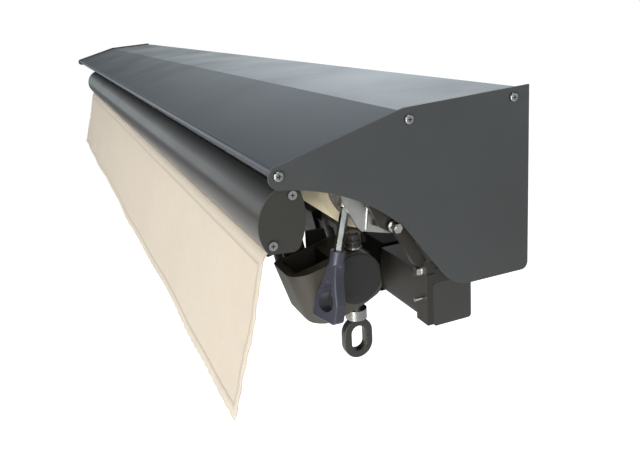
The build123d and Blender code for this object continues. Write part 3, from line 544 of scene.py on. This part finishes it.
# Welts: cream cords of extruded plastic in the hems of the canvas, slid into the front bar's two
# grooves from the end.
welt_cream = (0.70, 0.64, 0.52, 1)
dress(coated("Welt cord", welt_cream, grain=600.0, bump=0.3, dust=0.0), "welt_rods")


# Valance: a hanging curtain of the same canvas, hemmed on every side. Its welt is in the lower
# groove, and it swings a little forward under its own stiffness.
side_trim = 0.001
valance_low, valance_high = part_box("valance")
valance_left = valance_low.x + side_trim
valance_right = valance_high.x - side_trim
side_hem = 0.008
top_seam = 0.021
stitch_inset = 0.0018
stitch_pitch = 0.0036
hem_step = 0.0004
pucker_height = 0.0004
crease_height = 0.0007
valance_thick = 0.0008
valance_rows = 45
valance_columns = 801
hem_cream = (0.80, 0.69, 0.55, 1)
# Brown for the painted shade beside the hems and in the sunk stitches.
seam_shade_brown = (0.36, 0.30, 0.22, 1)


def hem_marks():
    """Hems of a sheet from UV in metres: the doubled cloth, the shade beside it and the stitches."""
    tree, given, out = shader_group(
        "Hem marks",
        [("Start", "NodeSocketFloat", 0.0), ("End", "NodeSocketFloat", 1.0),
         ("Length", "NodeSocketFloat", 0.15), ("Hem", "NodeSocketFloat", side_hem),
         ("Seam", "NodeSocketFloat", top_seam)],
        [("Fold", "NodeSocketFloat"), ("Shade", "NodeSocketFloat"), ("Stitch", "NodeSocketFloat")],
    )
    flat = split(tree, node(tree, "ShaderNodeUVMap", uv_map="Cloth").outputs[0])
    from_start = maths(tree, "SUBTRACT", flat[0], given["Start"])
    side = maths(tree, "MINIMUM", from_start, maths(tree, "SUBTRACT", given["End"], flat[0]))
    to_bottom = maths(tree, "SUBTRACT", given["Length"], flat[1])
    edge = maths(tree, "MINIMUM", side, to_bottom)
    inside = maths(tree, "SUBTRACT", given["Hem"], edge)
    above = maths(tree, "SUBTRACT", given["Seam"], flat[1])
    double = maths(tree, "MAXIMUM", inside, above)
    tree.links.new(ramp(tree, double, -0.0006, 0.0002), out["Fold"])
    from_step = maths(tree, "ABSOLUTE", maths(tree, "ADD", double, hem_step))
    tree.links.new(ramp(tree, from_step, 0.0003, 0.0013, 1.0, 0.0), out["Shade"])
    across = maths(tree, "ABSOLUTE", maths(tree, "SUBTRACT", double, stitch_inset))
    on_line = ramp(tree, across, 0.0004, 0.0007, 1.0, 0.0)
    run = maths(tree, "ADD", flat[0], flat[1])
    dash = maths(tree, "SINE", maths(tree, "MULTIPLY", run, 2 * np.pi / stitch_pitch))
    tree.links.new(maths(tree, "MULTIPLY", on_line, ramp(tree, dash, -0.5, -0.2)), out["Stitch"])
    return tree


def hemmed_canvas(name, colour, start, end, length):
    """The canvas with its hems: a raised double layer, a shaded step beside it and sunk stitches."""
    material = canvas(name, colour)
    tree = material.node_tree
    marks = group_in(tree, hem_marks(), Start=start, End=end, Length=length)
    raised = maths(tree, "MULTIPLY", marks["Fold"], 4.0)
    raised = maths(tree, "SUBTRACT", raised, maths(tree, "MULTIPLY", marks["Stitch"], 2.5))
    bump = tree.nodes["Principled BSDF"].inputs["Normal"].links[0].from_node
    weave = bump.inputs["Height"].links[0].from_socket
    tree.links.new(maths(tree, "ADD", weave, raised), bump.inputs["Height"])
    bump.inputs["Strength"].default_value = 0.8
    stain(material, marks["Fold"], hem_cream)
    stitched = maths(tree, "MULTIPLY", marks["Stitch"], 0.4)
    # Painted shade in brown: beside each hem's step, and in the sunk stitches.
    stain(material, maths(tree, "ADD", maths(tree, "MULTIPLY", marks["Shade"], 0.55), stitched), seam_shade_brown)
    return material


def through(points, share):
    """Smooth line through the points: each coordinate a cubic in the run of the line between them."""
    points = np.array(points)
    knots = np.concatenate([[0], np.cumsum(np.linalg.norm(np.diff(points, axis=0), axis=1))])
    slopes = np.gradient(points, knots, axis=0)
    at = share * knots[-1]
    k = np.clip(np.searchsorted(knots, at, side="right") - 1, 0, len(knots) - 2)
    span = (knots[k + 1] - knots[k])[:, None]
    t = (at - knots[k])[:, None] / span
    start = (2 * t ** 3 - 3 * t ** 2 + 1) * points[k] + (t ** 3 - 2 * t ** 2 + t) * span * slopes[k]
    return start + (3 * t ** 2 - 2 * t ** 3) * points[k + 1] + (t ** 3 - t ** 2) * span * slopes[k + 1]


valance_line = ((-0.2395, 0.072), (-0.2465, 0.0704), (-0.2516, 0.064), (-0.2552, 0.048),
                (-0.259, 0.028), (-0.2682, -0.006), (-0.2802, -0.052), (-0.2856, -0.0675))


def valance_sheet():
    """Grid of the width by the line: slow waves that grow towards the lower hem, short puckers that
    fade with the square of the distance from the hems, and creases that slant in from the sides."""
    down = np.linspace(0, 1, valance_rows)
    along = np.linspace(valance_left, valance_right, valance_columns)
    line = through(valance_line, down)
    length = float(np.sum(np.linalg.norm(np.diff(line, axis=0), axis=1)))
    wave = 0.0012 * np.sin(along * 11.0 + 0.6) + 0.0007 * np.sin(along * 27.0 + 2.0)
    fallen = down[:, None] * length
    to_side = np.minimum(along - along[0], along[-1] - along)
    side_pucker = pucker_height * np.sin(fallen * 310.0 + 0.4) * np.exp(-(to_side / 0.014) ** 2)
    uneven = np.sin(along * 390.0 + 2 * np.sin(along * 37.0))
    low_pucker = pucker_height * uneven * np.exp(-((length - fallen) / 0.012) ** 2)
    crease = crease_height * np.sin(95.0 * (fallen + 0.6 * to_side)) * np.exp(-to_side / 0.09)
    falling = (down ** 2)[:, None]
    puckers = (side_pucker + low_pucker + crease) * np.minimum(1, 3 * down)[:, None]
    depth = line[:, :1] + wave * falling + puckers
    height = np.broadcast_to(line[:, 1:], depth.shape)
    return sheet_surface("valance_cloth", along, np.stack([depth, height], axis=2), down * length), length


valance, valance_length = valance_sheet()
valance.data.materials.append(hemmed_canvas(
    "Hemmed canvas", canvas_cream, valance_left, valance_right, valance_length))
cloth_thickness = valance.modifiers.new("Canvas thickness", "SOLIDIFY")
cloth_thickness.thickness = valance_thick
cloth_thickness.offset = 0
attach(valance, "front_bar")
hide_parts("valance")


# Canopy: the free span of the canvas, drawn tight from the top of the roll to the front bar. It
# keeps its fall as far as the roof's lip, and stretches from there, so it goes out under the lip.
canopy_low, canopy_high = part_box("canopy")
canopy_left = canopy_low.x + side_trim
canopy_right = canopy_high.x - side_trim
canopy_half_thick = 0.0003
canopy_rows = 51
canopy_columns = 61
lip_share = 0.86
arm_travel = 1.061


def canopy_sheet():
    """Flat strip between the roll and the slot of the front bar, at the middle of its solid. Its weave
    is drawn for the opened cloth, so it is packed close beyond the lip while the awning is shut."""
    rear = np.array([canopy_high.y, canopy_high.z - canopy_half_thick])
    front = np.array([canopy_low.y, canopy_low.z + canopy_half_thick])
    length = float(np.linalg.norm(front - rear))
    down = np.linspace(0, 1, canopy_rows)
    along = np.linspace(canopy_left, canopy_right, canopy_columns)
    line = rear + (front - rear) * down[:, None]
    drawn_out = arm_travel * np.clip((down - lip_share) / (1 - lip_share), 0, 1)
    return sheet_surface("canopy_cloth", along, line[:, None, :], down * length + drawn_out), length


canopy, canopy_length = canopy_sheet()
canopy.data.materials.append(cream_canvas)
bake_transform(canopy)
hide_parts("canopy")


# Studio: a plain pale floor below the awning, and soft lamps. The camera stands at the right
# end, a little above the bar and close to it, as the photograph was taken.
floor_height = -0.95
floor_half = 14.0
floor_glow = 0.95


def seen_directly(tree):
    """1 for what the camera sees itself or through something clear. Also the light path's outputs."""
    rays = node(tree, "ShaderNodeLightPath").outputs
    return maths(tree, "MAXIMUM", rays["Is Camera Ray"], rays["Is Transmission Ray"]), rays


def pale_material():
    """Pale floor, plain white where the camera sees it, dimmer in reflections towards the far end."""
    material, tree, shader = new_material("Pale floor")
    shader["Base Color"].default_value = (0.9, 0.9, 0.9, 1)
    shader["Roughness"].default_value = 0.9
    seen, rays = seen_directly(tree)
    shader["Emission Color"].default_value = (1, 1, 1, 1)
    nearer = ramp(tree, object_place(tree)[0], -5.5, -3.0, 0.06, 0.29)
    mirrored = maths(tree, "MULTIPLY", rays["Is Glossy Ray"], nearer)
    glowing = maths(tree, "ADD", maths(tree, "MULTIPLY", seen, floor_glow), mirrored)
    tree.links.new(glowing, shader["Emission Strength"])
    return material


def floor_plane():
    """Level square below the awning."""
    spread = np.linspace(-floor_half, floor_half, 3)
    grid = np.zeros((3, 3, 3))
    grid[:, :, 0] = spread
    grid[:, :, 1] = spread[:, None]
    grid[:, :, 2] = floor_height
    return surface("floor", grid)


floor = floor_plane()
floor.data.materials.append(pale_material())

sky_blue = (0.86, 0.95, 1.0, 1)
plain_white = (1, 1, 1, 1)
world = bpy.data.worlds.new("Studio")
bpy.context.scene.world = world
world.use_nodes = True
sky = world.node_tree
background = sky.nodes["Background"].inputs
seen, rays = seen_directly(sky)
toward = split(sky, node(sky, "ShaderNodeTexCoord").outputs["Generated"])
wall_side = ramp(sky, toward[1], 0.04, 0.45, 0.17, 1.05)
front_side = ramp(sky, toward[1], -0.22, -0.06, 0.85, 0.17)
glow = maths(sky, "MAXIMUM", wall_side, front_side)
glow = maths(sky, "MULTIPLY", glow, ramp(sky, toward[2], 0.25, 0.7, 1.0, 0.12))
glow = maths(sky, "MULTIPLY", glow, ramp(sky, rays["Is Diffuse Ray"], 0.0, 1.0, 1.0, 0.4))
backdrop = node(sky, "ShaderNodeMix", {0: seen, 2: glow, 3: 1.0}, data_type="FLOAT").outputs[0]
tint = blend_colours(sky, seen, sky_blue, plain_white)
sky.links.new(tint, background["Color"])
sky.links.new(backdrop, background["Strength"])


def softbox(name, place, aim, width, height, power, colour=(1, 1, 1)):
    """A rectangular lamp that faces its aim."""
    lamp = bpy.data.lights.new(name, "AREA")
    lamp.shape = "RECTANGLE"
    lamp.size = width
    lamp.size_y = height
    lamp.energy = power
    lamp.color = colour
    holder = bpy.data.objects.new(name, lamp)
    bpy.context.scene.collection.objects.link(holder)
    holder.location = place
    holder.rotation_euler = (Vector(aim) - Vector(place)).to_track_quat("-Z", "Y").to_euler()


softbox("Over the roof", (0.2, -0.5, 2.2), (0.0, -0.1, 0.1), 3.2, 1.0, 34, (0.93, 0.97, 1.0))
softbox("In front", (1.0, -2.3, 0.8), (0.5, -0.2, 0.0), 2.0, 1.2, 25)
softbox("Beside the crank", (2.9, -0.9, 0.7), (0.9, -0.15, 0.05), 1.2, 1.2, 11)
softbox("Low beside the crank", (2.1, -1.5, -0.4), (0.95, -0.16, 0.08), 0.8, 0.5, 17)

# The camera's place and the view's right and down, fitted to corners measured in the photograph.
camera_place = (1.4498, -0.4028, 0.2548)
view_right = Vector((0.4054, 0.9132, -0.0498))
view_down = Vector((0.1502, -0.1203, -0.9813))
camera = bpy.data.objects.new("Camera", bpy.data.cameras.new("Camera"))
bpy.context.scene.collection.objects.link(camera)
view_ahead = view_right.cross(view_down).normalized()
view_down = view_ahead.cross(view_right).normalized()
turned = Matrix((view_right.normalized(), -view_down, -view_ahead)).transposed()
camera.matrix_world = Matrix.Translation(camera_place) @ turned.to_4x4()
camera.data.lens = 36.65
camera.data.sensor_width = 36
camera.data.shift_y = -0.14
camera.data.clip_start = 0.01
bpy.context.scene.camera = camera
bpy.context.scene.view_settings.view_transform = "Standard"
